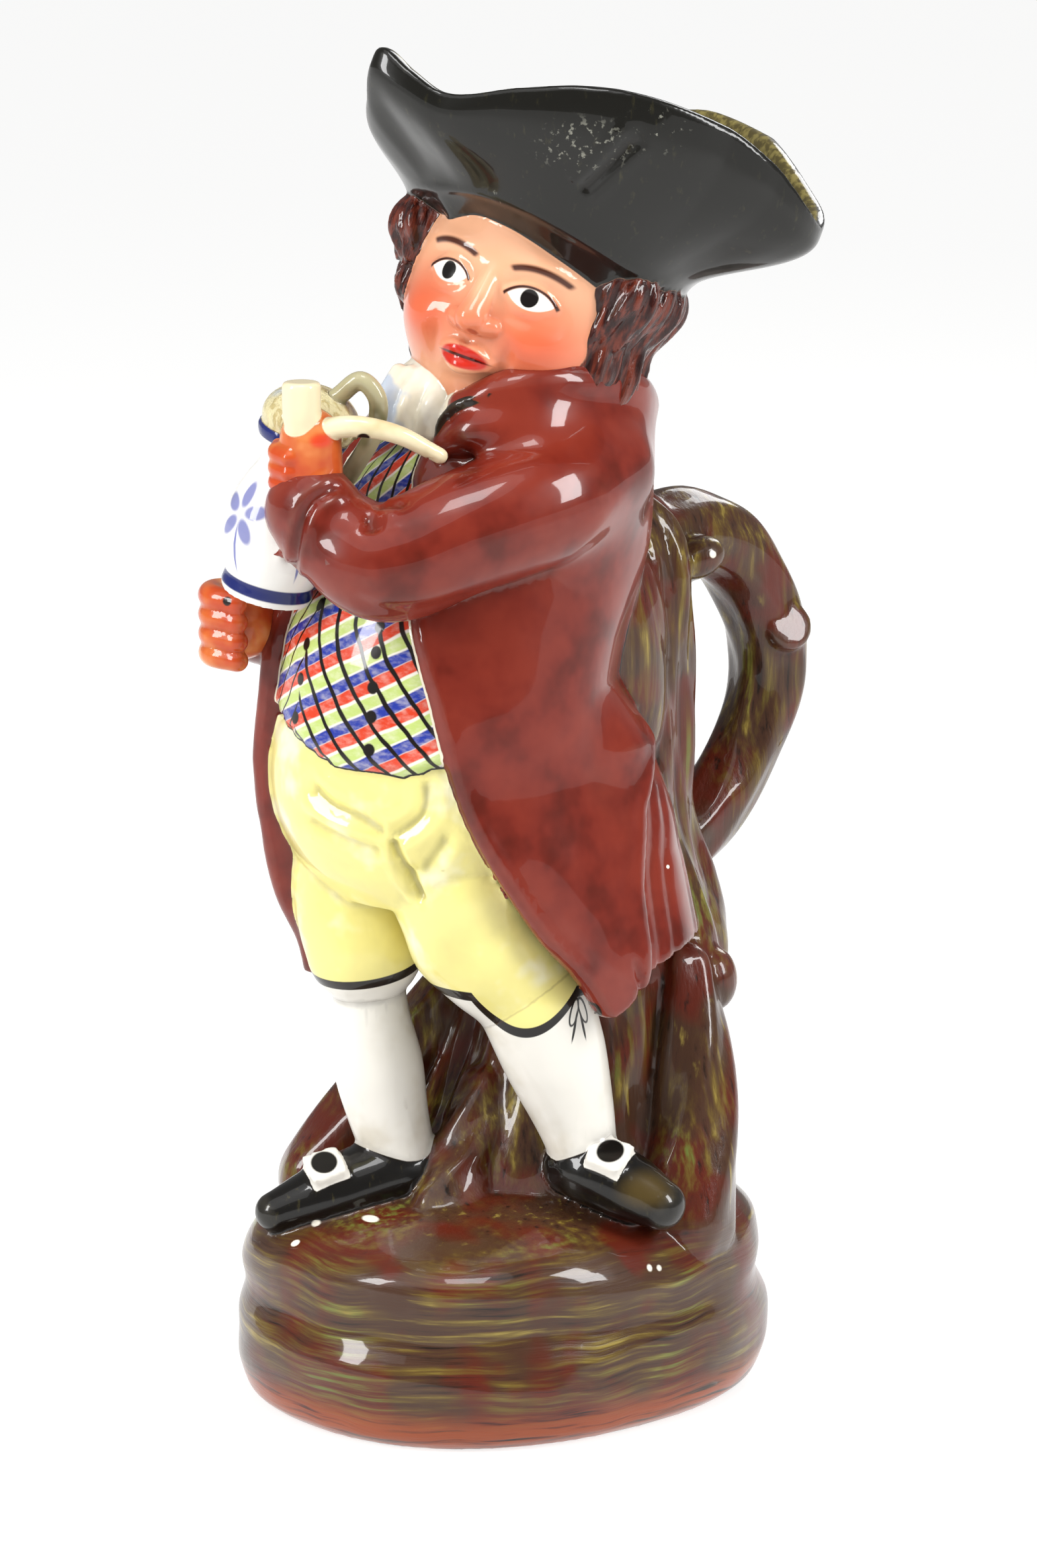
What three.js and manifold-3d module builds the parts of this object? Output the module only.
// A standing toby jug: a stout man in a cocked hat, with an ale jug and a clay pipe, on a mound in front of a
// tree stump whose branch is the handle. It is one hollow earthenware casting, open at the hat.
// Millimetres. +Z is up, -Y is where the spout of the hat points, +Y is the handle side, and +X is the man's left.
import * as THREE from "three";
import { mergeVertices } from "three/addons/utils/BufferGeometryUtils.js";
import Module from "manifold-3d";

const wasm = await Module();
wasm.setup();

// Driving dimensions
const WALL = 4.5; // thickness of the clay
const FLOOR = 6; // thickness of the bottom
const BASE_SIDE = 48; // half width of the base along X
const BASE_DEPTH = 56; // half width of the base along Y
const MOUND_TOP = 42; // height of the ground that the man stands on
const HEM_HEIGHT = 89; // lowest point of the coat tails
const VEST_HEIGHT = 144; // lower edge of the waistcoat
const HEAD_CENTRE = new THREE.Vector3(9.5, -1, 238);
const HEAD_HALF = new THREE.Vector3(24.5, 26, 30); // half width, half depth and half height
const HEAD_TILT = 20.5; // degrees that the head and hat lean back and to the man's left
const LEAN_AXIS = 70; // azimuth of the level axis that they lean about
const FACE_AZIMUTH = 28; // direction of the face from -Y, turned to the man's left
const BROW_RISE = 11; // height of the hat's headband over the centre of the head
const BROW_RADIUS = 31;
const HAT_WALL = 4;
const HANDLE_RADIUS = 8.5;

const GLAZE = { color: 0x6e2a1c, roughness: 0.18, metalness: 0 };

const rad = THREE.MathUtils.degToRad;
const { clamp, lerp, smoothstep } = THREE.MathUtils;
const at = (x, y, z) => new THREE.Vector3(x, y, z);

// Reads a table of [place, value] pairs at a place, with straight lines between them
function read(table, spot) {
  const next = table.findIndex(([place]) => place > spot);
  if (next === 0) return table[0][1];
  if (next < 0) return table[table.length - 1][1];
  const [[from, low], [to, high]] = [table[next - 1], table[next]];
  return lerp(low, high, (spot - from) / (to - from));
}

// Direction in the ground plane at an azimuth from -Y, towards +X
const heading = (azimuth) => at(Math.sin(rad(azimuth)), -Math.cos(rad(azimuth)), 0);

// A closed three.js geometry as a solid
function solid(geometry) {
  const bare = geometry.index ? geometry.toNonIndexed() : geometry;
  const positions = new THREE.BufferGeometry().setAttribute("position", bare.getAttribute("position"));
  const merged = mergeVertices(positions, 1e-4);
  const mesh = new wasm.Mesh({
    numProp: 3,
    vertProperties: new Float32Array(merged.attributes.position.array),
    triVerts: new Uint32Array(merged.index.array),
  });
  return new wasm.Manifold(mesh);
}

const join = (pieces) => pieces.reduce((whole, piece) => whole.add(piece));

// Moves every vertex of a geometry by a function from its place to a new place
function reshape(geometry, move) {
  const places = geometry.getAttribute("position");
  const point = at(0, 0, 0);
  for (let i = 0; i < places.count; i++) {
    const moved = move(point.fromBufferAttribute(places, i));
    places.setXYZ(i, moved.x, moved.y, moved.z);
  }
  return geometry;
}

// An ellipsoid with its half sizes, its centre and its turn in degrees
function ball(half, centre, turn = [0, 0, 0], round = 9) {
  const shape = new THREE.SphereGeometry(1, round, Math.round(round * 0.6));
  shape.rotateX(Math.PI / 2);
  shape.scale(...half);
  shape.applyMatrix4(new THREE.Matrix4().makeRotationFromEuler(new THREE.Euler(...turn.map(rad))));
  shape.translate(...centre);
  return solid(shape);
}

// A round limb along a curve with domed ends: each stop is [x, y, z, radius].
// side is a direction that the curve never points along, and flat thins the section across it.
function limb(stops, { sides = 9, steps = stops.length, flat = 1, cap = 2, side = at(1, 0, 0) } = {}) {
  const curve = new THREE.CatmullRomCurve3(stops.map(([x, y, z]) => at(x, y, z)), false, "centripetal");
  const radii = new THREE.CatmullRomCurve3(stops.map((stop, i) => at(stop[3], i, 0)));
  const shape = new THREE.CapsuleGeometry(1, 1, cap, sides, steps);
  return solid(
    reshape(shape, (point) => {
      const share = clamp(point.y + 0.5, 0, 1);
      const beyond = point.y + 0.5 - share;
      const radius = radii.getPoint(share).x;
      const along = curve.getTangent(share);
      const over = side.clone().cross(along).normalize();
      const across = along.clone().cross(over);
      return curve
        .getPoint(share)
        .addScaledVector(across, point.x * radius)
        .addScaledVector(over, point.z * radius * flat)
        .addScaledVector(along, beyond * radius * flat);
    }),
  );
}

// A column of oval sections: each stop is [height, centre x, centre y, half width x, half width y].
// A squareness of 2 is an ellipse. ripple(angle, height) is added to the half widths, and lift(angle) raises
// the lower end.
function column(stops, { sides = 28, steps = 2 * stops.length, square = 2, ripple = () => 0, lift = () => 0 } = {}) {
  const middles = new THREE.CatmullRomCurve3(stops.map(([z, x, y]) => at(x, y, z)), false, "centripetal");
  const halves = new THREE.CatmullRomCurve3(stops.map(([z, , , w, d]) => at(w, d, z)), false, "centripetal");
  const shape = new THREE.CylinderGeometry(1, 1, 1, sides, steps);
  shape.rotateX(Math.PI / 2);
  const bend = (v) => Math.sign(v) * Math.abs(v) ** (2 / square);
  return solid(
    reshape(shape, (point) => {
      const share = point.z + 0.5;
      const middle = middles.getPoint(share);
      const half = halves.getPoint(share);
      const reach = Math.hypot(point.x, point.y);
      const angle = Math.atan2(point.y, point.x);
      const swell = ripple(angle, middle.z);
      return at(
        middle.x + reach * (half.x * bend(Math.cos(angle)) + swell * Math.cos(angle)),
        middle.y + reach * (half.y * bend(Math.sin(angle)) + swell * Math.sin(angle)),
        middle.z + reach * lift(angle) * (1 - share) ** 3,
      );
    }),
  );
}

// A turned shape on the Z axis from [radius, height] pairs that start and end on the axis
function turned(profile, sides = 16) {
  const shape = new THREE.LatheGeometry(profile.map(([r, h]) => new THREE.Vector2(r, h)), sides);
  return solid(shape.rotateX(Math.PI / 2).scale(1, 1, 1));
}

// Places a solid by a turn in degrees and a move
function place(shape, move, turn = [0, 0, 0]) {
  const pose = new THREE.Matrix4().makeRotationFromEuler(new THREE.Euler(...turn.map(rad)));
  return shape.transform(pose.setPosition(...move).elements);
}

// The base: two soft tiers below a domed mound
const baseStops = [
  [0, 0, 0, BASE_SIDE - 3, BASE_DEPTH - 3], [2.5, 0, 0, BASE_SIDE, BASE_DEPTH],
  [10, 0, 0, BASE_SIDE + 2.5, BASE_DEPTH + 2], [18, 0, 0, BASE_SIDE + 2.5, BASE_DEPTH + 2.5],
  [24.5, 0, 0, BASE_SIDE - 0.8, BASE_DEPTH - 1], [31, 0, 0, BASE_SIDE + 1, BASE_DEPTH + 1],
  [36.5, 0, 0, BASE_SIDE - 0.5, BASE_DEPTH - 0.5], [MOUND_TOP - 1.5, 0, 1, BASE_SIDE - 4, BASE_DEPTH - 6],
  [MOUND_TOP + 2, 0, 3, 36, 41], [MOUND_TOP + 4.5, 0, 6, 27, 31], [MOUND_TOP + 6.5, 0, 10, 18, 22],
];

// The tree stump behind the legs, from the mound to the shoulders
const stumpStops = [
  [30, -2, 13, 39, 39], [42, -2, 16, 38, 37], [52, -2, 19, 34, 34], [65, -1, 22, 30, 31], [80, 1, 25, 27, 29],
  [95, 2, 26, 25, 29], [108, 1, 26.5, 22, 25], [120, 0, 27, 20, 21], [150, 0, 28, 18.5, 19],
  [176, 0, 30, 17.5, 16.5], [187, 0, 30, 14, 12.5], [195, 0, 27, 7, 6],
];
const bark = (angle, height) => 0.9 * Math.sin(7 * angle + height / 17) + 0.6 * Math.sin(11 * angle - height / 11);

function ground() {
  const roots = [
    [[-21, 2, 82, 6], [-27, -10, 62, 9], [-33, -22, 42, 11]],
    [[27, 28, 92, 6], [31, 27, 76, 8], [34, 25, 60, 9.5], [36, 19, 40, 12]],
    [[-20, 34, 84, 6], [-27, 36, 60, 9], [-29, 35, 38, 12]],
    [[2, -6, 66, 6], [4, -13, 53, 8], [7, -22, 42, 9]],
  ].map((stops) => limb(stops, { sides: 7 }));
  const knots = [
    ball([6, 5, 7], [25.5, 38, 88], [0, 0, -35]),
    ball([5, 6.5, 4.5], [11, 45, 177], [25, 0, -30]),
    ball([6, 5, 6.5], [-19, 38, 128], [0, 0, 40]),
    ball([13, 13, 30], [12, 18, 160], [10, 0, 0]),
  ];
  const mound = column(baseStops, { sides: 26, steps: 10, square: 2.25 });
  const stump = column(stumpStops, { sides: 16, steps: 8, ripple: bark });
  return join([mound, stump, ...roots, ...knots]);
}

// The handle: a thick branch with the stub of a cut twig
function handle() {
  const branch = limb(
    [
      [0, 36, 181, HANDLE_RADIUS], [0, 50, 181.5, HANDLE_RADIUS], [0, 63, 176, HANDLE_RADIUS],
      [0, 73, 162, HANDLE_RADIUS], [0, 76, 147, HANDLE_RADIUS], [0, 69.5, 131, 8], [0, 58, 117.5, 8], [0, 44, 109, 8],
    ],
    { sides: 10, steps: 10 },
  );
  const stub = place(turned([[0, -6], [5, -6], [5.5, 3], [4.6, 3.8], [0, 3.8]], 10), [6, 75, 157], [30, 62, 0]);
  return branch.add(stub);
}

// The coat and the body below it, from the hem to the neck
const coatStops = [
  [HEM_HEIGHT, 2, -2, 41, 41], [98, 2, -3, 42, 43], [110, 1, -7, 41.5, 45.5], [125, 0, -11, 40, 45],
  [140, -1, -14.5, 38, 39.5], [155, 0, -15.5, 36, 36.5], [170, 0, -12, 35, 37], [185, 0, -6.5, 34.5, 35],
  [195, 0, -4, 34, 33.5], [204, 0, -2, 33, 32], [212, 1, 2, 29, 27], [219, 3, 6, 24, 20], [224, 5, 8, 17, 15],
];
const COAT_PROUD = 1.3; // how far the cloth of the coat stands out from the waistcoat

// Azimuths of the coat's two front edges by height: they part towards the hem, and the left lapel comes to a peak
const leftEdge = [
  [89, 82], [94, 78], [107, 69.5], [121, 63], [137, 55.5], [152, 49], [160, 45], [168, 39.5], [176, 33],
  [192, 25], [208, 16], [214.5, 1], [221, 24],
];
const rightEdge = [[89, -36], [144, -33], [165, -30], [182, -27], [200, -25], [212, -27], [221, -42]];

// Height of the hem over its lowest point: each tail is lowest at its front corner
const hemRise = [[-180, 12], [-90, 11], [-60, 9], [-45, 4.5], [-37, 2.5], [78, 2.5], [82, 1.3], [98, 8], [121, 12]];

// Azimuth of the deep fold where each front skirt laps over the back of the coat, by height
const backCrease = [[96, 97], [104, 102], [116, 106.5], [132, 118], [142, 133], [148, 141]];
const fullness = [[105, 0], [120, 0.6], [134, 3.6], [145, 5], [151, 2], [158, -1.6], [168, -1.6], [185, 0]];
const rightSkirt = [[89, -1], [100, -1.8], [125, -2], [140, 0.5], [165, 2.4], [188, 0]];

// How far the coat stands out from its ovals: the waist, the full back, the lap and its folds
function tailoring(angle, height) {
  const azimuth = THREE.MathUtils.euclideanModulo(THREE.MathUtils.radToDeg(angle) + 270, 360) - 180;
  const away = Math.abs(azimuth);
  const past = (away - read(backCrease, height)) * 0.7;
  const step = 2.6 * smoothstep(past, -1, 3) * (1 - 0.75 * smoothstep(past, 3, 16));
  const fold = 0.6 * Math.exp(-(((past - 10) / 3) ** 2));
  const back = read(fullness, height) * smoothstep(away, 100, 128);
  const front = read(rightSkirt, height) * Math.exp(-(((azimuth + 37) / 30) ** 2));
  return COAT_PROUD + back + front - (step + fold) * smoothstep(152 - height, 0, 6);
}

// A wedge that opens the front of the coat between its two edges
function opening() {
  const shape = new THREE.BoxGeometry(1, 1, 1, 2, 1, 10);
  return solid(
    reshape(shape, (point) => {
      const height = lerp(HEM_HEIGHT - 8, 230, point.z + 0.5);
      const azimuth = lerp(read(rightEdge, height), read(leftEdge, height), point.x + 0.5);
      const x = read(coatStops.map((stop) => [stop[0], stop[1]]), height);
      const y = read(coatStops.map((stop) => [stop[0], stop[2]]), height);
      return heading(azimuth)
        .multiplyScalar(lerp(70, 4, point.y + 0.5))
        .add(at(x, y, height));
    }),
  );
}

function coat() {
  const lift = (angle) => {
    const azimuth = THREE.MathUtils.euclideanModulo(THREE.MathUtils.radToDeg(angle) + 270, 360) - 180;
    return read(hemRise, azimuth);
  };
  const bell = column(coatStops, { sides: 46, steps: 12, ripple: tailoring, lift });
  const lining = coatStops.slice(0, 5).map(([z, x, y, w, d], i) => [i ? z : z - 2, x, y, w - WALL, d - WALL]);
  const collar = limb(
    [
      [20, -24, 219.5, 3.5], [25, -18, 222, 5], [27, -8, 222.6, 5.6], [26.5, 3, 221, 6], [22, 14, 216.5, 6.4],
      [13, 23, 212, 6], [0, 27, 210.5, 5.5], [-12, 22, 212, 5.4], [-17.5, 8, 215, 5], [-13, -9, 217.5, 4],
      [-6.5, -20, 218.5, 3],
    ],
    { sides: 7, steps: 10, flat: 1.2, side: at(0, 0, 1) },
  );
  return bell.subtract(column(lining, { sides: 16, steps: 3 })).subtract(opening()).add(collar);
}

// The waistcoat over the belly and breast, whose lower edge stands a little proud of the breeches
function waistcoat() {
  const stops = coatStops.slice(5).map(([z, x, y, w, d]) => [z, x, y, w - 0.6, d - 0.6]);
  const belly = [[VEST_HEIGHT, -0.8, -14.8, 37.2, 38.4], ...stops];
  return column([[VEST_HEIGHT - 10, -1, -14, 33, 34], ...belly], { sides: 24, steps: 8 });
}

// Breeches, stockings and shoes
function legs() {
  const seat = column([
    [112, 0, -14, 29, 26], [120, 0, -14, 34, 33], [130, -0.5, -14.5, 36.3, 37.2], [140, -1, -15, 36.4, 37.6],
    [150, -0.5, -15.5, 34.5, 35.5],
  ], { sides: 16, steps: 3 });
  const thighs = [
    limb([[-13, -20, 140, 18.5], [-14, -26, 122, 16.3], [-12.5, -29.5, 108, 12.9], [-8.8, -30, 99.5, 12]], {
      sides: 12,
    }),
    limb([[14, -25, 128, 17], [18.5, -22, 108, 15.6], [23.5, -14, 95, 12.4]], { sides: 12 }),
  ];
  const calves = [
    limb([[-8, -28, 98, 10], [-7.5, -27, 82, 10.2], [-6.5, -25.5, 68, 9], [-5.5, -24.5, 56, 7.6]]),
    limb([[24.5, -11, 92, 11.5], [26, -7, 78, 11], [27.5, -3.5, 66, 8.2], [29, -2, 58, 7.2]]),
  ];
  const shoes = [
    limb([[-3, -17, 51.5, 7], [-6, -27, 52, 8.2], [-10.5, -39, 49.5, 7.6], [-15.5, -51.5, 46, 5.4]], { flat: 0.9 }),
    limb([[26.5, -2.5, 54.5, 7], [32, -1.5, 54.5, 8], [39, 2, 52, 7.6], [46, 5.5, 49.3, 5.6]], {
      flat: 0.9,
      side: at(-0.6, 1, 0),
    }),
  ];
  const buckles = [buckle([-10.5, -37.5, 56.2], [24, 0, -18]), buckle([36.5, 0.5, 58.5], [24, 0, 62])];
  return join([seat, ...thighs, ...calves, ...shoes, ...kneeBands(), ...buckles]);
}

// A band below each knee, where the breeches are tied
function kneeBands() {
  const ring = (radius, move, turn) => place(solid(new THREE.TorusGeometry(radius, 1.3, 4, 12)), move, turn);
  return [ring(10.6, [-8.4, -29.8, 95], [-4, 4, 0]), ring(12, [24, -12.5, 90.5], [14, 16, 0])];
}

// A square shoe buckle: a raised frame
function buckle(move, turn) {
  const frame = new THREE.Shape().moveTo(-5.5, -4).lineTo(5.5, -4).lineTo(5.5, 4).lineTo(-5.5, 4);
  frame.holes.push(new THREE.Path().absellipse(0, 0, 3.2, 2.1, 0, 2 * Math.PI));
  const plate = new THREE.ExtrudeGeometry(frame, { depth: 3, bevelEnabled: false, curveSegments: 4 });
  return place(solid(plate.translate(0, 0, -2)), move, turn);
}

// Sleeves, cuffs and hands
function arms() {
  const leftSleeve = limb(
    [
      [27, 3, 203.5, 13.5], [32, -14, 200, 13.5], [28, -34, 194.5, 12.8], [19.5, -48.5, 188.8, 12.2],
      [9.5, -54, 194, 10.2],
    ],
    { sides: 11, steps: 7, side: at(0, 0.3, 1) },
  );
  const leftCuff = limb([[9, -54.3, 194.5, 11.2], [6, -56.2, 199, 10.6]], { flat: 0.9, side: at(1, 0, 0.2) });
  const leftHand = limb([[6, -56, 198, 6.4], [5.5, -56, 207, 6], [5, -54.5, 214, 6.2]]);
  const leftFingers = [0, 1, 2].map((i) =>
    limb([[9.5, -52.5, 205 + 2.7 * i, 2], [11, -49.5, 206 + 2.7 * i, 2], [7.5, -47.5, 207 + 2.7 * i, 1.8]], {
      sides: 5, steps: 2, cap: 1, side: at(0, 0, 1),
    }),
  );
  const rightSleeve = limb([[-27, 2, 200, 15], [-38, -14, 180, 13], [-34, -32, 168, 11], [-30, -40, 168, 9.5]], {
    sides: 11, steps: 5,
  });
  const rightHand = limb([[-30, -38, 168, 6.6], [-27, -49, 168.8, 7.4]]);
  const rightFingers = [175.4, 171.3, 167.2, 163.1].map((z) =>
    limb([[-31.5, -46, z, 2.4], [-31, -53, z + 0.4, 2.7], [-25.5, -57.5, z + 0.6, 2.7], [-19.5, -56, z, 2.4]], {
      sides: 5, steps: 3, cap: 1, side: at(0, 0, 1),
    }),
  );
  return join([leftSleeve, leftCuff, leftHand, ...leftFingers, rightSleeve, rightHand, ...rightFingers]);
}

// The lean of the head and hat
const lean = new THREE.Matrix4().makeRotationAxis(heading(LEAN_AXIS), rad(-HEAD_TILT));

// Places a solid, made upright at the origin and facing -Y, on the head at an azimuth
function onHead(shape, azimuth, rise = 0) {
  const pose = new THREE.Matrix4()
    .makeTranslation(HEAD_CENTRE)
    .multiply(lean)
    .multiply(new THREE.Matrix4().makeRotationZ(rad(azimuth)))
    .multiply(new THREE.Matrix4().makeTranslation(0, 0, rise));
  return shape.transform(pose.elements);
}

// The rim of the cocked hat: [azimuth, radius, height over the headband] at its corners and sides
const rimStops = [
  [-8, 54.5, 28], [-1, 51.5, 25.5], [8, 46.5, 23.3], [25, 42.5, 28.8], [41, 41, 33.3], [54, 41, 35.5], [67, 42, 36.3],
  [88, 44.5, 35.5], [103, 49.5, 31.3], [114, 54, 25.3], [121, 55, 23], [129, 53.5, 25.5], [145, 47, 31.5],
  [165, 43.5, 37], [190, 43.5, 38.3], [213, 45.5, 34], [230, 50.5, 26], [238, 53, 21.5], [246, 51, 22], [262, 45, 23],
  [290, 41, 21], [315, 41, 16], [332, 44, 15], [344, 49.5, 20],
];
const rimCurve = new THREE.CatmullRomCurve3(rimStops.map(([, r, h], i) => at(r, h, i)), true, "catmullrom", 0.5);

// The rim's radius and height at an azimuth in degrees
function rim(azimuth) {
  const count = rimStops.length;
  const turn = (((azimuth + 8) % 360) + 360) % 360;
  const next = rimStops.findIndex(([a]) => a + 8 > turn);
  const to = next < 0 ? count : next;
  const start = rimStops[to - 1][0] + 8;
  const end = to === count ? 360 : rimStops[to][0] + 8;
  const spot = rimCurve.getPoint(((to - 1 + (turn - start) / (end - start)) / count) % 1);
  return { radius: spot.x, height: spot.y };
}

// The cocked hat: stations go up its outside, over the rim and down its inside, as [share of height, inset]
function hat() {
  const stations = [
    [-0.3, 9], [-0.06, 2], [0, 0], [0.14, 0], [0.32, 0], [0.55, 0], [0.8, 0], [0.98, 0], [0.98, HAT_WALL - 1],
    [0.7, HAT_WALL], [0.4, HAT_WALL + 0.5], [0.12, HAT_WALL + 2],
  ];
  const ring = stations.map((station, i) => new THREE.Vector2(i + 1, 0));
  const ends = [new THREE.Vector2(0, -1), ...ring, new THREE.Vector2(0, 1)];
  const shape = new THREE.LatheGeometry(ends, 38).rotateX(Math.PI / 2);
  return solid(
    reshape(shape, (point) => {
      const index = Math.round(Math.hypot(point.x, point.y)) - 1;
      const angle = Math.atan2(point.x, -point.y);
      const azimuth = THREE.MathUtils.radToDeg(angle);
      const edge = rim(azimuth);
      const [share, inset] = stations[index < 0 ? (point.z > 0 ? stations.length - 1 : 0) : index];
      const bluntness = 1.2 + 0.45 * smoothstep(edge.radius, 44, 53);
      const flare = Math.sin(clamp(share / 0.85, 0, 1) * (Math.PI / 2)) ** bluntness;
      const band = 6.5 * Math.exp(-(((azimuth - FACE_AZIMUTH) / 55) ** 2));
      const radius = index < 0 ? 0 : lerp(BROW_RADIUS, edge.radius, flare) - inset;
      return at(Math.sin(angle) * radius, -Math.cos(angle) * radius, lerp(band, edge.height, share));
    }),
  );
}

// The head, upright and facing -Y: skull, cheeks, nose, brows, lips and chin
function head() {
  const bumps = [
    { place: at(-11, -20, -9), width: 8, rise: 2.2 }, { place: at(11, -20, -9), width: 8, rise: 2.2 },
    { place: at(0, -20, -24), width: 7, rise: 2.6 }, { place: at(0, -24, 9), width: 10, rise: 1.4 },
    { place: at(-8.5, -23, 1.5), width: 4.5, rise: -1.8 }, { place: at(8.5, -23, 1.5), width: 4.5, rise: -1.8 },
  ];
  const skull = new THREE.SphereGeometry(1, 16, 12).rotateX(Math.PI / 2).rotateZ(Math.PI / 2);
  reshape(skull, (point) => {
    const spot = point.clone().multiply(HEAD_HALF);
    const swell = bumps.map(({ place, width, rise }) => rise * Math.exp(-((spot.distanceTo(place) / width) ** 2)));
    return spot.add(point.clone().multiplyScalar(swell.reduce((sum, each) => sum + each)));
  });
  const level = { sides: 7, cap: 1, side: at(0, 0, 1) };
  return join([
    solid(skull),
    limb([[0, -24, 3, 2.2], [0, -26.8, -4, 2.8], [0, -27.6, -7, 3.4]], { sides: 8 }),
    limb([[-4.2, -25.5, -8, 1.8], [0, -27, -8.5, 2.2], [4.2, -25.5, -8, 1.8]], { ...level, steps: 2 }),
    limb([[-6, -21.5, -14.8, 1.3], [0, -23.6, -14, 2], [6, -21.5, -14.8, 1.3]], level),
    limb([[-5, -21, -16.8, 1.3], [0, -23, -17.4, 2.2], [5, -21, -16.8, 1.3]], level),
  ]);
}

// Wavy locks of hair at both sides and down the back, as limbs round an upright head that faces -Y
function hair() {
  const locks = [];
  const sides = [
    { side: -1, lengths: [[70, 12], [90, 15], [115, 24], [150, 36]] },
    { side: 1, lengths: [[70, 17], [90, 27], [115, 32], [150, 36]] },
  ];
  for (const { side, lengths } of sides) {
    for (const [azimuth, length] of lengths) {
      const way = heading(side * azimuth);
      const stops = [0, 1, 2, 3].map((i) => {
        const out = 23.5 - 0.3 * i ** 2 + 1.6 * Math.sin(2.4 * i + azimuth);
        return [way.x * out, way.y * out, 7 - (i / 3) * length, 7.5 - 0.8 * i];
      });
      locks.push(limb(stops, { sides: 6, steps: 3, side: way }));
    }
  }
  return join(locks);
}

// The neckcloth: a band with a ruffled fall of zigzag folds
function neckcloth() {
  const folds = [-8, -3, 2, 7].map((across, i) => {
    const top = at(6.5, -24, 223).add(at(0.83, 0.35, -0.05).multiplyScalar(across));
    const low = top.clone().add(at(-1.2, -5.5, -11));
    const middle = top.clone().lerp(low, 0.5).add(at(0.9 * (-1) ** i, -1.6, 0));
    return limb([[...top, 2.2], [...middle, 2.5], [...low, 1.8]], { sides: 5, steps: 2, cap: 1 });
  });
  return join([ball([15, 11, 10], [5.5, -17, 217.5], [-14, 0, 22], 12), ...folds]);
}

// The ale jug, its froth and its loop handle
function aleJug() {
  const pot = turned(
    [[0, 0], [9.2, 0], [9.8, 1.5], [9.4, 4], [11.6, 9], [12.2, 15], [10.8, 22], [8, 28], [7.6, 31], [9.6, 35.5], [9.6, 37], [0, 37]],
    12,
  );
  const froth = ball([10.2, 10.2, 7], [0.5, 0.5, 39.5], [0, 0, 0], 10);
  const loop = limb(
    [[3, -46.5, 221, 2], [7.4, -44.1, 224.5, 2], [9.8, -41.8, 221, 2], [8.6, -41.5, 214, 2], [3, -44, 204, 2]],
    { sides: 6, steps: 6, side: at(0.77, -0.64, 0) },
  );
  return place(pot.add(froth), [-13, -53.5, 178], [-5.5, 14.5, 0]).add(loop);
}

// The clay pipe: a bowl in the left hand and a stem that rests on the chest
function pipe() {
  const bowl = place(turned([[0, -3], [2.5, -2], [3.6, 1], [4, 5], [4, 9.5], [3.6, 10.3], [0, 10.3]], 10), [6.5, -59, 215.5]);
  const stem = limb([[6.5, -58.5, 214.5, 2.4], [13, -52, 216.6, 2.3], [19, -44.5, 215, 2], [23, -36, 210, 1.7]], {
    sides: 7, side: at(0, 0, 1),
  });
  return bowl.add(stem);
}

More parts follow.
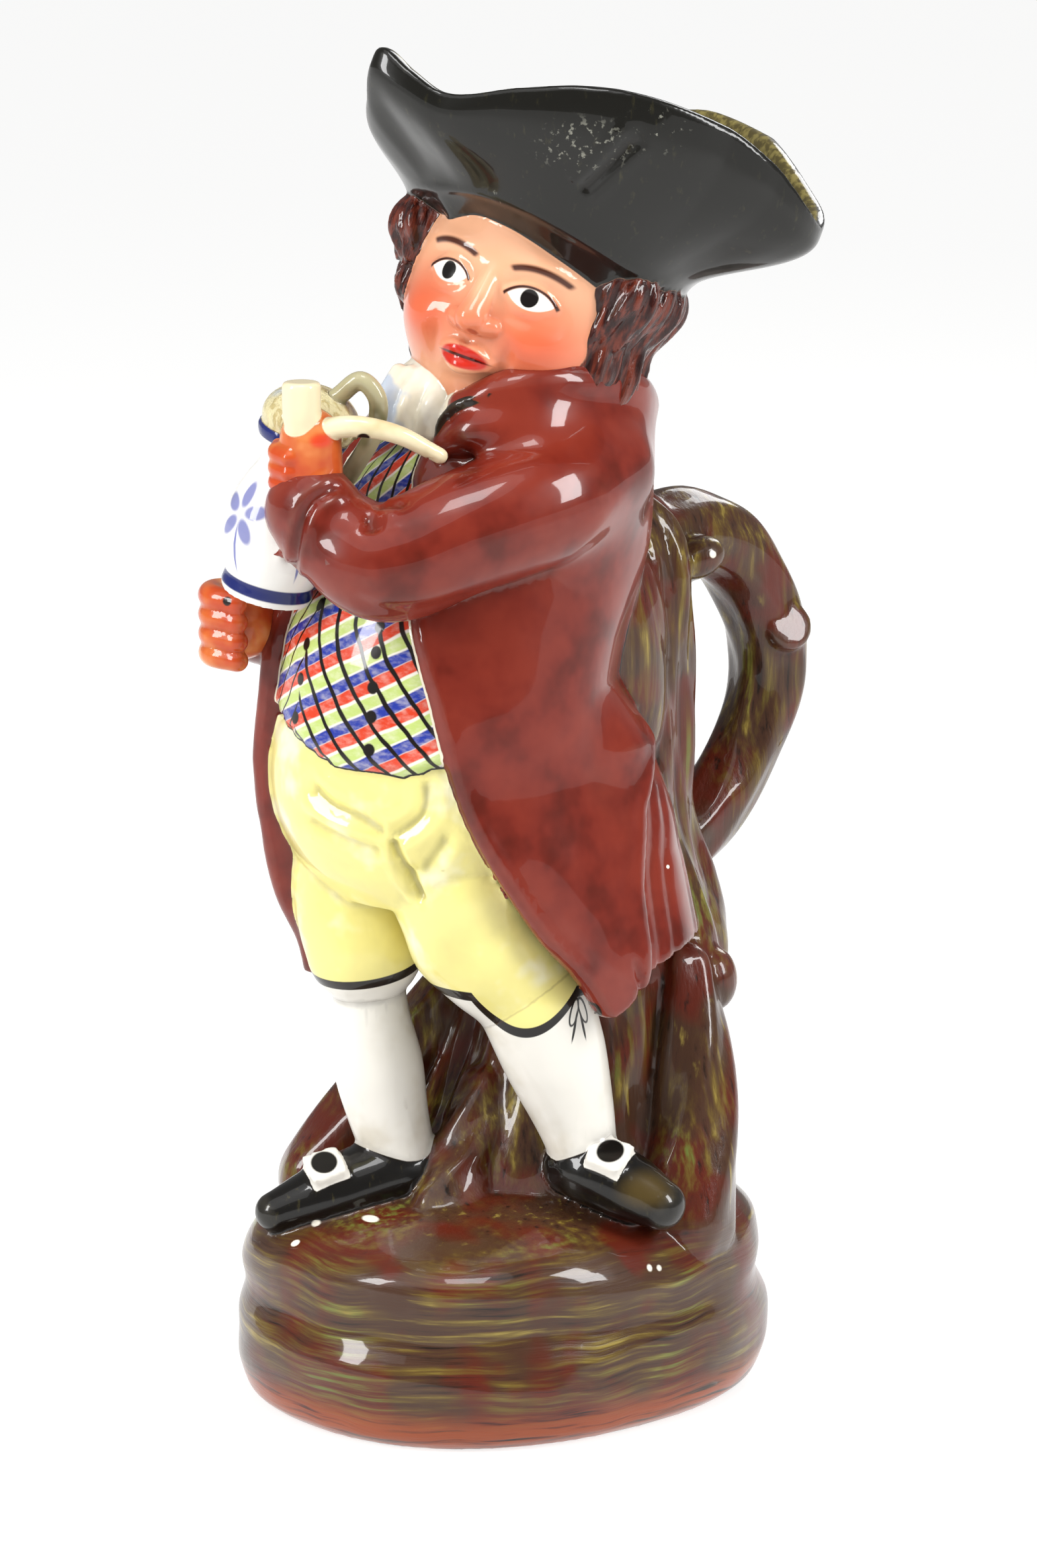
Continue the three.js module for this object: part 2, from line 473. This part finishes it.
// The hollow inside, from the base up to the hat, as wide as the wall allows
function hollow() {
  const foot = baseStops.filter(([z]) => z >= 10).map(([z, x, y, w, d], i) => [i ? z - WALL : FLOOR, x, y, w - 6, d - 6]);
  const trunk = [
    [26, -2, 13, 33, 33], [46, -2, 16, 31, 30], [60, -1, 20, 27, 26], [74, 0, 22.5, 23, 24], [90, 1, 23, 20.5, 23],
    [115, 0, 23, 15, 18], [145, 0, 25, 13.5, 15.5], [170, 0, 27, 12, 13], [182, 0, 27, 7, 7],
  ];
  const run = [[20, 5, 14, 7, 7], [60, 5, 14, 6.5, 7], [130, 5, 13, 6.5, 7], [160, 5, 8, 8, 8]];
  const chest = [
    [118, 0, -12, 12, 12], [124, 0, -12, 24, 24], [136, -0.5, -13, 30, 31], [152, -0.5, -14, 30, 30.5],
    [168, 0, -11, 30, 31], [184, 0, -6, 29.5, 29.5], [196, 0, -3.5, 28, 27], [205, 1, -1, 23, 22],
    [213, 3.5, 3.5, 15, 14], [220, 5, 5, 12, 12], [226, 6, 5, 12, 12],
  ];
  const skull = ball([HEAD_HALF.x - 5, HEAD_HALF.y - 5.5, HEAD_HALF.z - 7], [0, 1, 0]);
  const crown = turned([[0, -12], [15, -12], [19, 1], [24, 9], [26, 16], [27, 30], [0, 30]], 12);
  return join([
    column(foot, { sides: 14, steps: 3, square: 2.25 }), column(trunk, { sides: 12, steps: 5 }),
    column(run, { sides: 8, steps: 2 }), column(chest, { sides: 14, steps: 7 }), onHead(skull, FACE_AZIMUTH),
    onHead(crown, 0, BROW_RISE),
  ]);
}

// The folds drawn into the clay of the breeches and of the left sleeve
function creases() {
  const routes = [
    [[0, -53, 140, 1.6], [5.5, -52.6, 136.4, 1.8], [13.5, -50, 134, 1.8], [17.9, -47.3, 130.6, 1.8]],
    [[24.8, -42.3, 143, 1.5], [24.6, -42.8, 136, 1.7], [18.5, -47, 130, 1.7]],
    [[-3, -52.6, 132, 1.4], [9.9, -50.6, 128.5, 1.6], [18, -46.6, 127, 1.6]],
    [[18.7, -46.8, 130.3, 1.6], [19.7, -45, 124.9, 1.8], [20.8, -42.8, 118, 1.8]],
    [[24, -59, 205, 2], [25.5, -58.5, 199.4, 2.4], [24, -59, 193.5, 2]],
  ];
  return join(routes.map((stops) => limb(stops, { sides: 4, steps: 2, cap: 1, side: at(1, 1, 0.3) })));
}

const figure = join([
  ground(), handle(), coat(), waistcoat(), legs(), arms(), onHead(head(), FACE_AZIMUTH), onHead(hair(), FACE_AZIMUTH),
  onHead(hat(), 0, BROW_RISE), neckcloth(), aleJug(), pipe(),
]);
const body = figure.subtract(creases()).subtract(hollow());

const mesh = body.getMesh();
const geometry = new THREE.BufferGeometry()
  .setAttribute("position", new THREE.BufferAttribute(mesh.vertProperties, 3))
  .setIndex(new THREE.BufferAttribute(mesh.triVerts, 1));
geometry.computeVertexNormals();
const jug = new THREE.Mesh(geometry, new THREE.MeshStandardMaterial(GLAZE));
jug.name = "toby_jug";

const model = new THREE.Group();
model.add(jug);
export default model;
